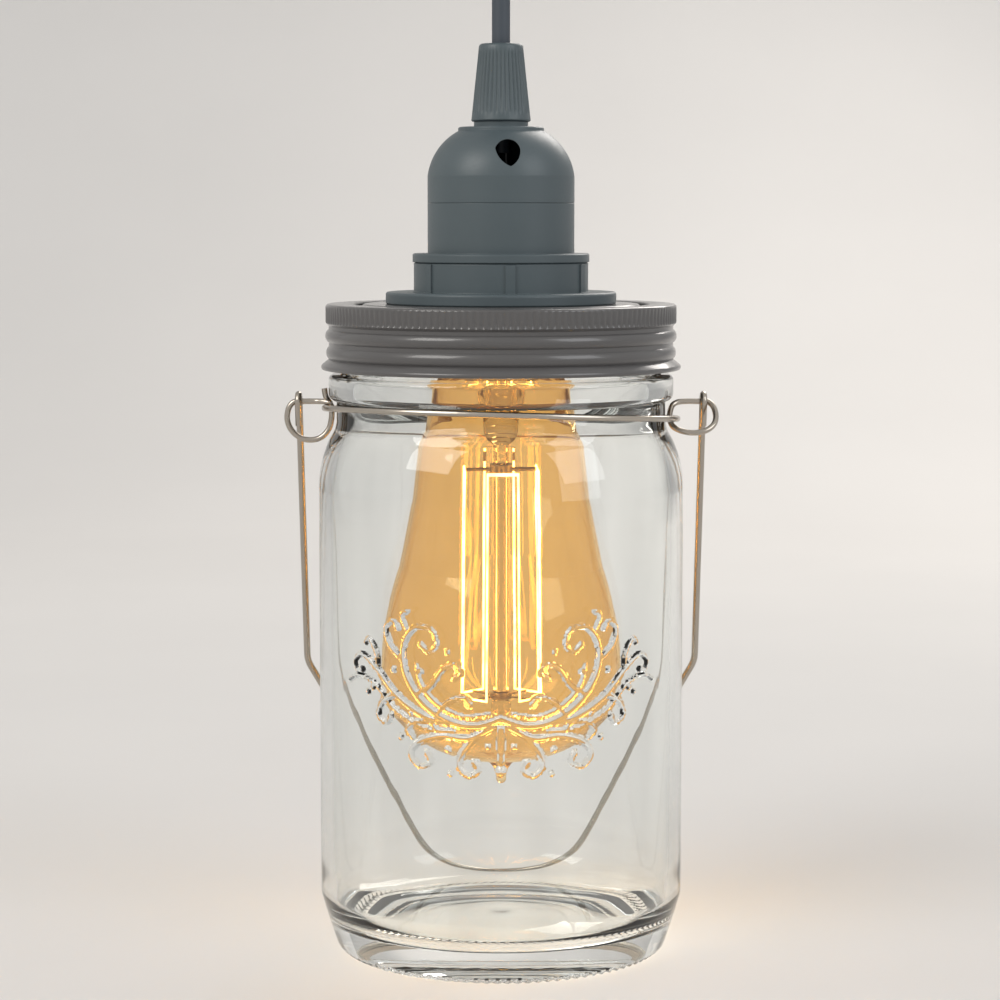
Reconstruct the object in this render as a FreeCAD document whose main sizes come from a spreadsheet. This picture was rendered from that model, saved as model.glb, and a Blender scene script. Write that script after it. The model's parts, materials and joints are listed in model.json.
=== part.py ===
import FreeCAD, Part
import math
import os
import Sketcher
from FreeCAD import Vector, Rotation, Placement

# A canning jar made into a pendant lantern. Millimetres, +Z up, the table is z = 0, the front looks along -Y.

SIZES = [
    # jar
    ("jar_r", 47.5),
    ("jar_wall", 3.3),
    ("foot_inner_r", 34.5),
    ("foot_outer_r", 38.5),
    ("heel_h", 12.0),
    ("base_rise", 3.6),
    ("floor_h", 9.4),
    ("shoulder_h", 121.5),
    ("neck_h", 139.0),
    ("neck_r", 42.8),
    ("bead_h", 144.2),
    ("bead_r", 44.8),
    ("bead_tall", 6.8),
    ("finish_r", 41.2),
    ("rim_h", 166.8),
    ("mouth_r", 38.1),
    # lid
    ("seal_thick", 1.05),
    ("sheet", 0.5),
    ("disc_r", 43.4),
    ("panel_r", 35.5),
    ("panel_rise", 0.8),
    ("disc_hole_r", 20.2),
    ("band_r", 45.5),
    ("band_hole_r", 38.5),
    ("band_tall", 16.9),
    ("band_groove", 0.8),
    ("band_lip", 1.2),
    ("band_gap", 0.3),
    # lamp holder and its rings
    ("flange_r", 29.9),
    ("flange_thick", 3.1),
    ("ring_r", 22.6),
    ("ring_tall", 10.8),
    ("ring_bore_r", 20.0),
    ("rib_out", 0.4),
    ("rib_wide", 2.6),
    ("rib_count", 6),
    ("lower_ring_r", 27.0),
    ("lower_flange", 2.6),
    ("lower_ring_tall", 7.2),
    ("skirt_r", 19.8),
    ("skirt_down", 13.2),
    ("skirt_bore_r", 14.6),
    ("collar_r", 22.9),
    ("collar_thick", 2.2),
    ("holder_r", 19.0),
    ("holder_tall", 12.9),
    ("holder_wall", 1.7),
    ("web", 2.2),
    ("cap_straight", 6.9),
    ("cap_tall", 18.5),
    ("cap_top_r", 11.1),
    ("cap_lip", 1.0),
    ("hole_r", 3.35),
    ("hole_side", 1.7),
    ("hole_up", 12.7),
    ("nipple_r", 7.0),
    ("nipple_tall", 1.4),
    ("core_r", 16.9),
    ("core_tall", 8.0),
    ("post_r", 8.2),
    ("shell_r", 14.05),
    ("shell_wall", 0.5),
    ("shell_tall", 23.0),
    ("tongue_long", 12.0),
    ("tongue_wide", 4.0),
    ("block_long", 6.0),
    ("block_wide", 7.0),
    ("block_tall", 3.6),
    ("block_out", 9.6),
    ("screw_r", 1.9),
    ("screw_tall", 1.5),
    ("conductor_r", 1.0),
    # cord and its fittings
    ("cord_r", 2.35),
    ("cord_gap", 0.25),
    ("cord_free", 32.4),
    ("grip_low_r", 7.7),
    ("grip_top_r", 5.7),
    ("grip_tall", 19.8),
    ("collet_r", 5.0),
    ("collet_tall", 9.2),
    ("cup_r", 23.0),
    ("cup_tall", 22.0),
    ("cup_wall", 1.2),
    ("cup_round", 5.0),
    ("nut_r", 5.2),
    ("nut_tall", 4.4),
    ("plate_thick", 2.0),
    ("plate_hole_r", 2.2),
    ("plate_hole_out", 14.0),
    ("stop_r", 5.4),
    ("stop_tall", 5.6),
    # bulb
    ("bulb_r", 31.6),
    ("bulb_widest", 28.5),
    ("bulb_tall", 112.4),
    ("bulb_neck_r", 15.6),
    ("bulb_wall", 1.0),
    ("base_r", 13.1),
    ("base_tall", 21.0),
    ("cone_tall", 3.0),
    ("contact_r", 4.6),
    ("contact_tall", 1.5),
    ("stem_r", 2.0),
    ("cage_r", 10.3),
    ("cage_flare", 0.8),
    ("cage_tall", 58.5),
    ("cage_drop", 30.5),
    ("cage_strands", 8),
    ("strand_r", 0.28),
    ("hook_r", 0.3),
    ("lead_r", 0.35),
    # wire handle
    ("neck_wire_r", 0.8),
    ("neck_wire_down", 3.1),
    ("neck_wire_gap", 0.3),
    ("neck_wire_tilt", 1.7),
    ("neck_wire_rise", 3.4),
    ("ear_wire_r", 0.75),
    ("ear_gap", 0.4),
    ("ear_tall", 9.2),
    ("ear_above_neck", 4.8),
    ("ear_corner", 4.0),
    ("ear_tuck", 1.5),
    ("bail_wire_r", 0.9),
    ("bail_half", 52.7),
    ("bail_hook_r", 1.8),
    ("bail_tail", 6.0),
    ("bail_leg", 77.0),
    ("bail_bend_r", 9.0),
    ("bail_bow_r", 28.0),
    ("bail_long", 147.0),
    ("bail_lean", 18.6),
]

doc = FreeCAD.newDocument("lantern")
sheet = doc.addObject("Spreadsheet::Sheet", "Sizes")


class Size:
    # a number, and the formula over the sheet that gives it

    def __init__(self, value, text):
        self.value = float(value)
        self.text = text

    def __add__(self, other):
        other = size(other)
        return Size(self.value + other.value, "(" + self.text + " + " + other.text + ")")

    def __sub__(self, other):
        other = size(other)
        return Size(self.value - other.value, "(" + self.text + " - " + other.text + ")")

    def __mul__(self, other):
        other = size(other)
        return Size(self.value * other.value, "(" + self.text + " * " + other.text + ")")

    def __truediv__(self, other):
        other = size(other)
        return Size(self.value / other.value, "(" + self.text + " / " + other.text + ")")

    def __radd__(self, other):
        return size(other) + self

    def __rsub__(self, other):
        return size(other) - self

    def __rmul__(self, other):
        return size(other) * self

    def __float__(self):
        return self.value


def size(thing):
    if isinstance(thing, Size):
        return thing
    return Size(thing, "%.6f" % float(thing))


class Cells:
    pass


D = Cells()
for row, (name, number) in enumerate(SIZES, start=1):
    sheet.set("A%d" % row, name)
    sheet.set("B%d" % row, repr(float(number)))
    sheet.setAlias("B%d" % row, name)
doc.recompute()
for name, number in SIZES:
    setattr(D, name, Size(getattr(sheet, name), "Sizes." + name))

NODES = []


def bind(thing, prop, amount):
    thing.setExpression(prop, size(amount).text)


def place(thing, x=0, y=0, z=0):
    thing.Placement = Placement(Vector(float(x), float(y), float(z)), Rotation())
    for letter, amount in (("x", x), ("y", y), ("z", z)):
        if isinstance(amount, Size):
            bind(thing, "Placement.Base." + letter, amount)
    return thing


def node(thing, label):
    thing.Label = label
    NODES.append(thing)
    return thing


def plane_of(body, role):
    for item in body.Origin.OriginFeatures:
        if item.Role == role:
            return item
    raise RuntimeError("no plane " + role)


def sketch_on(body, role, name):
    sketch = body.newObject("Sketcher::SketchObject", name)
    sketch.AttachmentSupport = [(plane_of(body, role), "")]
    sketch.MapMode = "FlatFace"
    return sketch


def draw(sketch, start, steps):
    # a closed outline: each step is a corner (a line to it) or a point on the way and a corner (an arc to it)
    corners = [start]
    ways = []
    for step in steps:
        if len(step) == 4:
            ways.append((step[0], step[1]))
            corners.append((step[2], step[3]))
        else:
            ways.append(None)
            corners.append(step)
    if len(corners) - 1 == len(ways) and not same(corners[-1], start):
        corners.append(start)
        ways.append(None)
    first = sketch.GeometryCount
    count = len(ways)
    shapes = []
    for k, way in enumerate(ways):
        if way is None:
            shapes.append(Part.LineSegment(flat(corners[k]), flat(corners[k + 1])))
        else:
            shapes.append(Part.Arc(flat(corners[k]), flat(way), flat(corners[k + 1])))
    sketch.addGeometry(shapes, False)
    ends = []
    for k in range(count):
        near = sketch.getPoint(first + k, 1)
        here = near.distanceToPoint(flat(corners[k])) < near.distanceToPoint(flat(corners[k + 1]))
        ends.append((1, 2) if here else (2, 1))
    rules = []
    formulas = []

    def pin(geometry, end, corner):
        for kind, axis, amount in (("DistanceX", -2, corner[0]), ("DistanceY", -1, corner[1])):
            if isinstance(amount, Size):
                rules.append(Sketcher.Constraint(kind, -1, 1, geometry, end, float(amount)))
                formulas.append(amount.text)
            elif float(amount) == 0:
                rules.append(Sketcher.Constraint("PointOnObject", geometry, end, axis))
                formulas.append(None)
            else:
                rules.append(Sketcher.Constraint(kind, -1, 1, geometry, end, float(amount)))
                formulas.append(None)

    for k in range(count):
        after = (k + 1) % count
        pin(first + k, ends[k][0], corners[k])
        rules.append(Sketcher.Constraint("Coincident", first + k, ends[k][1], first + after, ends[after][0]))
        formulas.append(None)
    for k, way in enumerate(ways):
        if way is not None:
            spot = sketch.addGeometry(Part.Point(flat(way)), True)
            pin(spot, 1, way)
            rules.append(Sketcher.Constraint("PointOnObject", spot, 1, first + k))
            formulas.append(None)
    numbers = sketch.addConstraint(rules)
    for number, formula in zip(numbers, formulas):
        if formula:
            sketch.setExpression("Constraints[%d]" % number, formula)


def flat(corner):
    return Vector(float(corner[0]), float(corner[1]), 0)


def same(one, other):
    return flat(one).distanceToPoint(flat(other)) < 1e-6


def circle_in(sketch, x, y, radius):
    ring = Part.Circle(flat((x, y)), Vector(0, 0, 1), float(radius))
    spot = sketch.addGeometry(ring, False)
    number = sketch.addConstraint(Sketcher.Constraint("Radius", spot, float(radius)))
    sketch.setExpression("Constraints[%d]" % number, size(radius).text)
    for kind, axis, amount in (("DistanceX", -2, x), ("DistanceY", -1, y)):
        if not isinstance(amount, Size) and float(amount) == 0:
            sketch.addConstraint(Sketcher.Constraint("PointOnObject", spot, 3, axis))
        else:
            number = sketch.addConstraint(Sketcher.Constraint(kind, -1, 1, spot, 3, float(amount)))
            sketch.setExpression("Constraints[%d]" % number, size(amount).text)


def turned(label, start, steps, z=0):
    # a closed half outline in the XZ plane, turned all the way round the Z axis
    body = doc.addObject("PartDesign::Body", label)
    sketch = sketch_on(body, "XZ_Plane", label + "_outline")
    draw(sketch, start, steps)
    turn = body.newObject("PartDesign::Revolution", label + "_turn")
    turn.Profile = sketch
    turn.ReferenceAxis = (sketch, ["V_Axis"])
    turn.Angle = 360
    sketch.Visibility = False
    place(body, 0, 0, z)
    return node(body, label)


def ringed(label, inner, outer, z, tall):
    return turned(label, (inner, 0), [(outer, 0), (outer, tall), (inner, tall)], z)


def box(label, long, wide, tall, x, y, z):
    block = doc.addObject("Part::Box", label)
    bind(block, "Length", long)
    bind(block, "Width", wide)
    bind(block, "Height", tall)
    return place(block, x, y, z)


def rod(label, radius, tall, x, y, z):
    stick = doc.addObject("Part::Cylinder", label)
    bind(stick, "Radius", radius)
    bind(stick, "Height", tall)
    return place(stick, x, y, z)


def fused(label, shapes):
    whole = doc.addObject("Part::MultiFuse", label)
    whole.Shapes = shapes
    return node(whole, label)


def swept(label, section_r, spine, at, along):
    section = doc.addObject("Part::Circle", label + "_section")
    bind(section, "Radius", section_r)
    section.Placement = Placement(at, Rotation(Vector(0, 0, 1), along))
    doc.recompute()
    pipe = doc.addObject("Part::Sweep", label)
    pipe.Sections = [section]
    pipe.Spine = (spine, ["Edge%d" % (k + 1) for k in range(len(spine.Shape.Edges))])
    pipe.Solid = True
    pipe.Frenet = False
    return node(pipe, label)


def bent(edges, radius):
    # a round wire bent along lines and arcs that run into one another
    start = edges[0].valueAt(edges[0].FirstParameter)
    way = edges[0].tangentAt(edges[0].FirstParameter)
    section = Part.Wire([Part.makeCircle(float(radius), start, way)])
    return Part.Wire(edges).makePipeShell([section], True, False)


def run(points, radius):
    # a round wire along straight runs, with a ball at every bend
    shapes = []
    for one, other in zip(points, points[1:]):
        shapes.append(Part.makeCylinder(float(radius), (other - one).Length, one, other - one))
    for spot in points[1:-1]:
        shapes.append(Part.makeSphere(float(radius), spot))
    return shapes


def shaped(label, shapes):
    whole = shapes[0]
    if len(shapes) > 1:
        whole = whole.fuse(shapes[1:])
    if len(whole.Solids) == 1:
        whole = whole.Solids[0]
    feature = doc.addObject("Part::Feature", label)
    feature.Shape = whole
    return node(feature, label)


def around(radius, degrees, z):
    # a point that many degrees from the front, towards +X
    turn = math.radians(degrees)
    return Vector(float(radius) * math.sin(turn), -float(radius) * math.cos(turn), float(z))


# The jar

inside_r = D.jar_r - D.jar_wall
pull_in = D.jar_r - D.neck_r
slope = D.neck_h - D.shoulder_h
bead_top = D.bead_h + D.bead_tall
turned(
    "glass_jar",
    (0, D.base_rise),
    [
        (D.foot_inner_r * 0.55, D.base_rise * 0.78, D.foot_inner_r, 0),
        (D.foot_outer_r, 0),
        (D.foot_outer_r + (D.jar_r - D.foot_outer_r) * 0.72, D.heel_h * 0.29, D.jar_r, D.heel_h),
        (D.jar_r, D.shoulder_h),
        (
            D.jar_r - pull_in * 0.18,
            D.shoulder_h + slope * 0.40,
            D.jar_r - pull_in * 0.66,
            D.shoulder_h + slope * 0.75,
        ),
        (D.jar_r - pull_in * 0.92, D.shoulder_h + slope * 0.89, D.neck_r, D.neck_h),
        (D.neck_r, D.bead_h),
        (D.bead_r - (D.bead_r - D.neck_r) * 0.29, D.bead_h + 0.6, D.bead_r, D.bead_h + 2.0),
        (D.bead_r, bead_top - 1.4),
        (D.bead_r - 0.4, bead_top - 0.4, D.bead_r - 1.4, bead_top),
        (D.finish_r, bead_top),
        (D.finish_r, D.rim_h - 0.9),
        (D.finish_r - 0.26, D.rim_h - 0.26, D.finish_r - 0.9, D.rim_h),
        (D.mouth_r + 0.7, D.rim_h),
        (D.mouth_r + 0.2, D.rim_h - 0.2, D.mouth_r, D.rim_h - 0.7),
        (D.mouth_r, D.bead_h),
        (D.neck_r - D.jar_wall, D.neck_h - 1.0),
        (inside_r - pull_in * 0.42, D.shoulder_h + slope * 0.52, inside_r, D.shoulder_h - 1.0),
        (inside_r, D.heel_h + 4.0),
        (inside_r - 2.6, D.floor_h + 1.6, inside_r - 9.0, D.floor_h - 1.0),
        (0, D.floor_h),
    ],
)

# The lid: seal, disc and screw band

seal_z = D.rim_h + 0.05
ringed("lid_gasket", D.mouth_r + 0.4, D.finish_r + 0.6, seal_z, D.seal_thick)
disc_z = seal_z + D.seal_thick
turned(
    "lid_disc",
    (D.disc_hole_r, D.panel_rise),
    [
        (D.panel_r - 0.5, D.panel_rise),
        (D.panel_r + 0.5, 0),
        (D.disc_r - 0.3, 0),
        (D.disc_r, 0.2),
        (D.disc_r, D.sheet),
        (D.panel_r + 1.0, D.sheet),
        (D.panel_r, D.sheet + D.panel_rise),
        (D.disc_hole_r, D.sheet + D.panel_rise),
    ],
    disc_z,
)
band_z = disc_z + D.sheet + D.band_gap + D.sheet - D.band_tall
band_in = D.band_r - D.sheet
groove_r = D.band_r - D.band_groove
groove_in = groove_r - D.sheet
lip_r = D.band_r + D.band_lip
turned(
    "lid_band",
    (D.band_hole_r, D.band_tall),
    [
        (D.band_hole_r, D.band_tall - D.sheet),
        (band_in - 0.5, D.band_tall - D.sheet),
        (band_in - 0.15, D.band_tall - D.sheet - 0.15, band_in, D.band_tall - D.sheet - 0.5),
        (band_in, D.band_tall - 4.9),
        (groove_in, D.band_tall - 5.8),
        (groove_in, D.band_tall - 6.4),
        (band_in, D.band_tall - 8.2, groove_in, D.band_tall - 10.0),
        (groove_in, D.band_tall - 10.8),
        (band_in - 0.2, D.band_tall - 12.6, groove_in, D.band_tall - 14.4),
        (lip_r - 1.0, 0.9),
        (lip_r - 0.7, 0),
        (lip_r - 0.2, 0.1),
        (lip_r, 0.7, lip_r - 0.3, 1.3),
        (groove_r, D.band_tall - 14.2),
        (D.band_r - 0.1, D.band_tall - 12.6, groove_r, D.band_tall - 10.9),
        (groove_r, D.band_tall - 9.9),
        (D.band_r + 0.1, D.band_tall - 8.2, groove_r, D.band_tall - 6.5),
        (groove_r, D.band_tall - 5.6),
        (D.band_r, D.band_tall - 4.7),
        (D.band_r, D.band_tall - 0.8),
        (D.band_r - 0.23, D.band_tall - 0.23, D.band_r - 0.8, D.band_tall),
    ],
    band_z,
)

# The two threaded rings that clamp the lid

panel_top = disc_z + D.sheet + D.panel_rise
upper = turned(
    "ring_upper",
    (D.ring_bore_r, 0),
    [
        (D.flange_r - 0.3, 0),
        (D.flange_r, 0.3),
        (D.flange_r, D.flange_thick - 0.7),
        (D.flange_r - 0.2, D.flange_thick - 0.2, D.flange_r - 0.7, D.flange_thick),
        (D.ring_r, D.flange_thick),
        (D.ring_r, D.ring_tall - 0.4),
        (D.ring_r - 0.4, D.ring_tall),
        (D.ring_bore_r, D.ring_tall),
    ],
    panel_top,
)
doc.recompute()
rib_outline = sketch_on(upper, "XY_Plane", "rib_outline")
rib_outline.AttachmentOffset = Placement(
    Vector(0, 0, float(D.flange_thick) - 0.3), Rotation(Vector(0, 0, 1), -84)
)
draw(
    rib_outline,
    (D.ring_r - 1.0, D.rib_wide * -0.5),
    [
        (D.ring_r + D.rib_out, D.rib_wide * -0.5),
        (D.ring_r + D.rib_out, D.rib_wide * 0.5),
        (D.ring_r - 1.0, D.rib_wide * 0.5),
    ],
)
rib = upper.newObject("PartDesign::Pad", "rib")
rib.Profile = rib_outline
bind(rib, "Length", D.ring_tall - D.flange_thick - 0.2)
rib_outline.Visibility = False
doc.recompute()
ribs = upper.newObject("PartDesign::PolarPattern", "ribs")
ribs.Originals = [rib]
ribs.Axis = (plane_of(upper, "Z_Axis"), [""])
ribs.Angle = 360
bind(ribs, "Occurrences", D.rib_count)
upper.Tip = ribs

lower_z = disc_z + D.panel_rise - 0.1 - D.lower_ring_tall
turned(
    "ring_lower",
    (D.ring_bore_r, 0),
    [
        (D.ring_bore_r + 2.4, 0),
        (D.ring_bore_r + 2.8, 0.4),
        (D.ring_bore_r + 2.8, D.lower_ring_tall - D.lower_flange),
        (D.lower_ring_r, D.lower_ring_tall - D.lower_flange),
        (D.lower_ring_r, D.lower_ring_tall),
        (D.ring_bore_r, D.lower_ring_tall),
    ],
    lower_z,
)

# The lamp holder

holder_z = panel_top - D.skirt_down
collar_up = D.skirt_down + D.ring_tall
body_up = collar_up + D.collar_thick
holder_in = D.holder_r - D.holder_wall
turned(
    "socket_body",
    (D.skirt_bore_r, 0),
    [
        (D.skirt_r - 0.5, 0),
        (D.skirt_r, 0.5),
        (D.skirt_r, collar_up),
        (D.collar_r, collar_up),
        (D.collar_r, body_up - 0.3),
        (D.collar_r - 0.3, body_up),
        (D.holder_r, body_up),
        (D.holder_r, body_up + D.holder_tall),
        (holder_in, body_up + D.holder_tall),
        (holder_in, body_up + D.web - 0.2),
        (D.post_r + 0.2, body_up + D.web - 0.2),
        (D.post_r + 0.2, body_up - 0.2),
        (D.skirt_bore_r, body_up - 0.2),
    ],
    holder_z,
)
web_z = holder_z + body_up - 0.2
turned(
    "screw_shell",
    (D.shell_r - D.shell_wall, 0),
    [
        (D.shell_r, 0),
        (D.shell_r, D.shell_tall),
        (D.post_r + 0.6, D.shell_tall),
        (D.post_r + 0.6, D.shell_tall - D.shell_wall),
        (D.shell_r - D.shell_wall, D.shell_tall - D.shell_wall),
    ],
    web_z - 0.1 - D.shell_tall,
)
core_z = web_z + 0.3
turned(
    "socket_core",
    (0, 0),
    [
        (D.post_r, 0),
        (D.post_r, D.web - 0.2),
        (D.core_r, D.web - 0.2),
        (D.core_r, D.web - 0.2 + D.core_tall - 0.5),
        (D.core_r - 0.5, D.web - 0.2 + D.core_tall),
        (0, D.web - 0.2 + D.core_tall),
    ],
    core_z,
)
tongue = box(
    "tongue", D.tongue_long, D.tongue_wide, 0.55,
    D.tongue_long * -0.5, D.tongue_wide * -0.5, core_z - 0.6,
)
button = rod("tongue_button", 2.0, 0.7, 0, 0, core_z - 1.1)
fused("centre_contact", [tongue, button])

core_top = core_z + D.web - 0.2 + D.core_tall
holder_top = holder_z + body_up + D.holder_tall
for side, sign in (("left", -1), ("right", 1)):
    block = box(
        "block_" + side, D.block_long, D.block_wide, D.block_tall,
        D.block_out * sign - D.block_long / 2, D.block_wide * -0.5, core_top,
    )
    head = rod(
        "screw_" + side, D.screw_r, D.screw_tall + 0.5,
        D.block_out * sign, 0, core_top + D.block_tall - 0.5,
    )
    fused("terminal_" + side, [block, head])

cap = turned(
    "socket_cap",
    (D.holder_r, 0.05),
    [
        (D.holder_r, D.cap_straight),
        (
            D.cap_top_r + (D.holder_r - D.cap_top_r) * 0.70,
            D.cap_straight + (D.cap_tall - D.cap_straight) * 0.56,
            D.cap_top_r,
            D.cap_tall,
        ),
        (D.cap_top_r, D.cap_tall + D.cap_lip - 0.3),
        (D.cap_top_r - 0.3, D.cap_tall + D.cap_lip),
        (D.nipple_r, D.cap_tall + D.cap_lip),
        (D.nipple_r, D.cap_tall + D.cap_lip + D.nipple_tall),
        (D.cord_r + D.cord_gap, D.cap_tall + D.cap_lip + D.nipple_tall),
        (D.cord_r + D.cord_gap, D.cap_tall - 1.0),
        (D.cap_top_r - 1.6, D.cap_tall - 1.0),
        (
            D.cap_top_r - 1.6 + (holder_in - D.cap_top_r + 1.6) * 0.70,
            D.cap_straight + (D.cap_tall - 1.0 - D.cap_straight) * 0.56,
            holder_in,
            D.cap_straight,
        ),
        (holder_in, 0.05),
    ],
    holder_top,
)
doc.recompute()
whole_cap = cap.Shape.Volume
hole_outline = sketch_on(cap, "XZ_Plane", "hole_outline")
draw(
    hole_outline,
    (D.hole_side - D.hole_r * 0.94, D.hole_up + D.hole_r * 0.34),
    [
        (
            D.hole_side + D.hole_r * 0.06,
            D.hole_up + D.hole_r,
            D.hole_side + D.hole_r * 0.94,
            D.hole_up + D.hole_r * 0.30,
        ),
        (
            D.hole_side + D.hole_r * 0.80,
            D.hole_up - D.hole_r * 0.50,
            D.hole_side + D.hole_r * 0.25,
            D.hole_up - D.hole_r * 1.04,
        ),
        (
            D.hole_side - D.hole_r * 0.50,
            D.hole_up - D.hole_r * 0.55,
            D.hole_side - D.hole_r * 0.94,
            D.hole_up + D.hole_r * 0.34,
        ),
    ],
)
hole = cap.newObject("PartDesign::Pocket", "hole")
hole.Profile = hole_outline
bind(hole, "Length", D.holder_r + 2.0)
hole_outline.Visibility = False
doc.recompute()
if cap.Shape.Solids[0].CenterOfMass.y < 0:
    hole.Reversed = True
    doc.recompute()
if cap.Shape.Solids[0].CenterOfMass.y <= 0 or cap.Shape.Volume >= whole_cap:
    raise RuntimeError("the hole is not in the front of the cap")

# The cord, its grip and the ceiling fitting that it ends in

bore_r = D.cord_r + D.cord_gap
grip_z = holder_top + D.cap_tall + D.cap_lip + D.nipple_tall + 0.05
turned(
    "cord_grip",
    (D.collet_r + 0.2, 0),
    [
        (D.grip_low_r, 0),
        (D.grip_top_r, D.grip_tall - 0.6),
        (D.grip_top_r - 0.6, D.grip_tall),
        (bore_r, D.grip_tall),
        (bore_r, D.collet_tall + 1.4),
        (D.collet_r + 0.2, D.collet_tall + 0.4),
    ],
    grip_z,
)
turned(
    "grip_collet",
    (bore_r, 0),
    [
        (D.collet_r, 0),
        (D.collet_r, D.collet_tall - 1.0),
        (D.collet_r - 1.0, D.collet_tall),
        (bore_r, D.collet_tall),
    ],
    grip_z + 0.05,
)
cord_z = holder_top + D.cap_straight + 6.0
nut_z = grip_z + D.grip_tall + D.cord_free
cup_z = nut_z + D.nut_tall
cord_end = cup_z + D.cup_wall + D.stop_tall + 2.0
cord = rod("supply_cord", D.cord_r, cord_end - cord_z, 0, 0, cord_z)
node(cord, "supply_cord")
for side, sign in (("left", -1), ("right", 1)):
    lane = 0.6 + float(D.conductor_r) * 0.7
    low = float(core_top)
    high = float(cord_z)
    out = float(D.block_out) - float(D.block_long) / 2 - float(D.conductor_r) - 0.1
    path = [
        Vector(sign * lane, 0, high - 0.05),
        Vector(sign * lane, 0, high - 3.5),
        Vector(sign * out, 0, low + float(D.block_tall) + 2.0),
        Vector(sign * out, 0, low + 1.0),
    ]
    shaped("conductor_" + side, run(path, D.conductor_r))
turned(
    "ceiling_nut",
    (bore_r, 0),
    [
        (D.nut_r - 1.2, 0),
        (D.nut_r, 1.2),
        (D.nut_r, D.nut_tall - 0.05),
        (bore_r, D.nut_tall - 0.05),
    ],
    nut_z,
)
turned(
    "ceiling_cup",
    (bore_r, 0),
    [
        (D.cup_r - D.cup_round, 0),
        (
            D.cup_r - D.cup_round * 0.292893,
            D.cup_round * 0.292893,
            D.cup_r,
            D.cup_round,
        ),
        (D.cup_r, D.cup_tall),
        (D.cup_r - D.cup_wall, D.cup_tall),
        (D.cup_r - D.cup_wall, D.cup_round),
        (
            D.cup_r - D.cup_round + (D.cup_round - D.cup_wall) * 0.707107,
            D.cup_round - (D.cup_round - D.cup_wall) * 0.707107,
            D.cup_r - D.cup_round,
            D.cup_wall,
        ),
        (bore_r, D.cup_wall),
    ],
    cup_z,
)
ringed("cord_stop", bore_r, D.stop_r, cup_z + D.cup_wall + 0.05, D.stop_tall)
plate = doc.addObject("PartDesign::Body", "ceiling_plate")
plate_outline = sketch_on(plate, "XY_Plane", "plate_outline")
circle_in(plate_outline, 0, 0, D.cup_r - D.cup_wall - 0.2)
circle_in(plate_outline, D.plate_hole_out, 0, D.plate_hole_r)
circle_in(plate_outline, D.plate_hole_out * -1.0, 0, D.plate_hole_r)
plate_pad = plate.newObject("PartDesign::Pad", "plate_pad")
plate_pad.Profile = plate_outline
bind(plate_pad, "Length", D.plate_thick)
plate_outline.Visibility = False
place(plate, 0, 0, cup_z + D.cup_tall - D.plate_thick)
node(plate, "ceiling_plate")

# The bulb, hanging base up

base_z = holder_z - 0.5
tip_z = base_z - D.bulb_tall
above = D.bulb_tall - D.bulb_widest
thin = D.bulb_wall


def high(share):
    return D.bulb_widest + above * share


turned(
    "bulb_glass",
    (0, 0),
    [
        (D.bulb_r * 0.012, 0),
        (D.bulb_r * 0.033, 0.45, D.bulb_r * 0.041, 1.3),
        (D.bulb_r * 0.044, D.bulb_widest * 0.098),
        (D.bulb_r * 0.082, D.bulb_widest * 0.175, D.bulb_r * 0.222, D.bulb_widest * 0.245),
        (D.bulb_r * 0.680, D.bulb_widest * 0.425, D.bulb_r * 0.905, D.bulb_widest * 0.665),
        (D.bulb_r * 0.975, D.bulb_widest * 0.820, D.bulb_r, D.bulb_widest),
        (D.bulb_r * 0.960, high(0.175), D.bulb_r * 0.845, high(0.345)),
        (D.bulb_r * 0.765, high(0.500), D.bulb_r * 0.696, high(0.660)),
        (D.bulb_r * 0.662, high(0.745), D.bulb_r * 0.623, high(0.822)),
        (D.bulb_r * 0.570, high(0.900), D.bulb_neck_r, high(0.960)),
        (D.base_r + 0.3, D.bulb_tall),
        (D.base_r + 0.3 - thin, D.bulb_tall),
        (D.bulb_neck_r - thin, high(0.960) - 0.4),
        (D.bulb_r * 0.570 - thin, high(0.897), D.bulb_r * 0.623 - thin, high(0.818)),
        (D.bulb_r * 0.662 - thin, high(0.743), D.bulb_r * 0.696 - thin, high(0.660)),
        (D.bulb_r * 0.765 - thin, high(0.500), D.bulb_r * 0.845 - thin, high(0.345)),
        (D.bulb_r * 0.960 - thin, high(0.175), D.bulb_r - thin, D.bulb_widest),
        (
            D.bulb_r * 0.975 - thin,
            D.bulb_widest * 0.820 + thin * 0.2,
            D.bulb_r * 0.905 - thin * 0.8,
            D.bulb_widest * 0.665 + thin * 0.5,
        ),
        (
            D.bulb_r * 0.680 - thin * 0.4,
            D.bulb_widest * 0.425 + thin,
            D.bulb_r * 0.222,
            D.bulb_widest * 0.245 + thin,
        ),
        (0, D.bulb_widest * 0.225 + thin),
    ],
    tip_z,
)
turned(
    "bulb_base",
    (D.base_r - 0.5, 0.05),
    [
        (D.base_r, 0.05),
        (D.base_r, D.base_tall - 2.0),
        (D.base_r - 2.6, D.base_tall - 0.05),
        (D.base_r - 3.2, D.base_tall - 0.05),
        (D.base_r - 0.5, D.base_tall - 2.2),
    ],
    base_z,
)
turned(
    "base_insulator",
    (0, 0),
    [
        (D.base_r - 2.8, 0),
        (D.contact_r + 0.6, D.cone_tall - 0.05),
        (0, D.cone_tall - 0.05),
    ],
    base_z + D.base_tall,
)
contact_z = base_z + D.base_tall + D.cone_tall
turned(
    "base_contact",
    (0, 0),
    [
        (D.contact_r, 0),
        (D.contact_r * 0.86, D.contact_tall * 0.62, D.contact_r * 0.5, D.contact_tall),
        (0, D.contact_tall),
    ],
    contact_z,
)
cage_top = base_z - D.cage_drop
cage_low = cage_top - D.cage_tall
flare_r = D.bulb_neck_r - D.bulb_wall - 0.7
stem_low = cage_low - 5.5
stem_tall = base_z - 3.0 - stem_low
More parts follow.
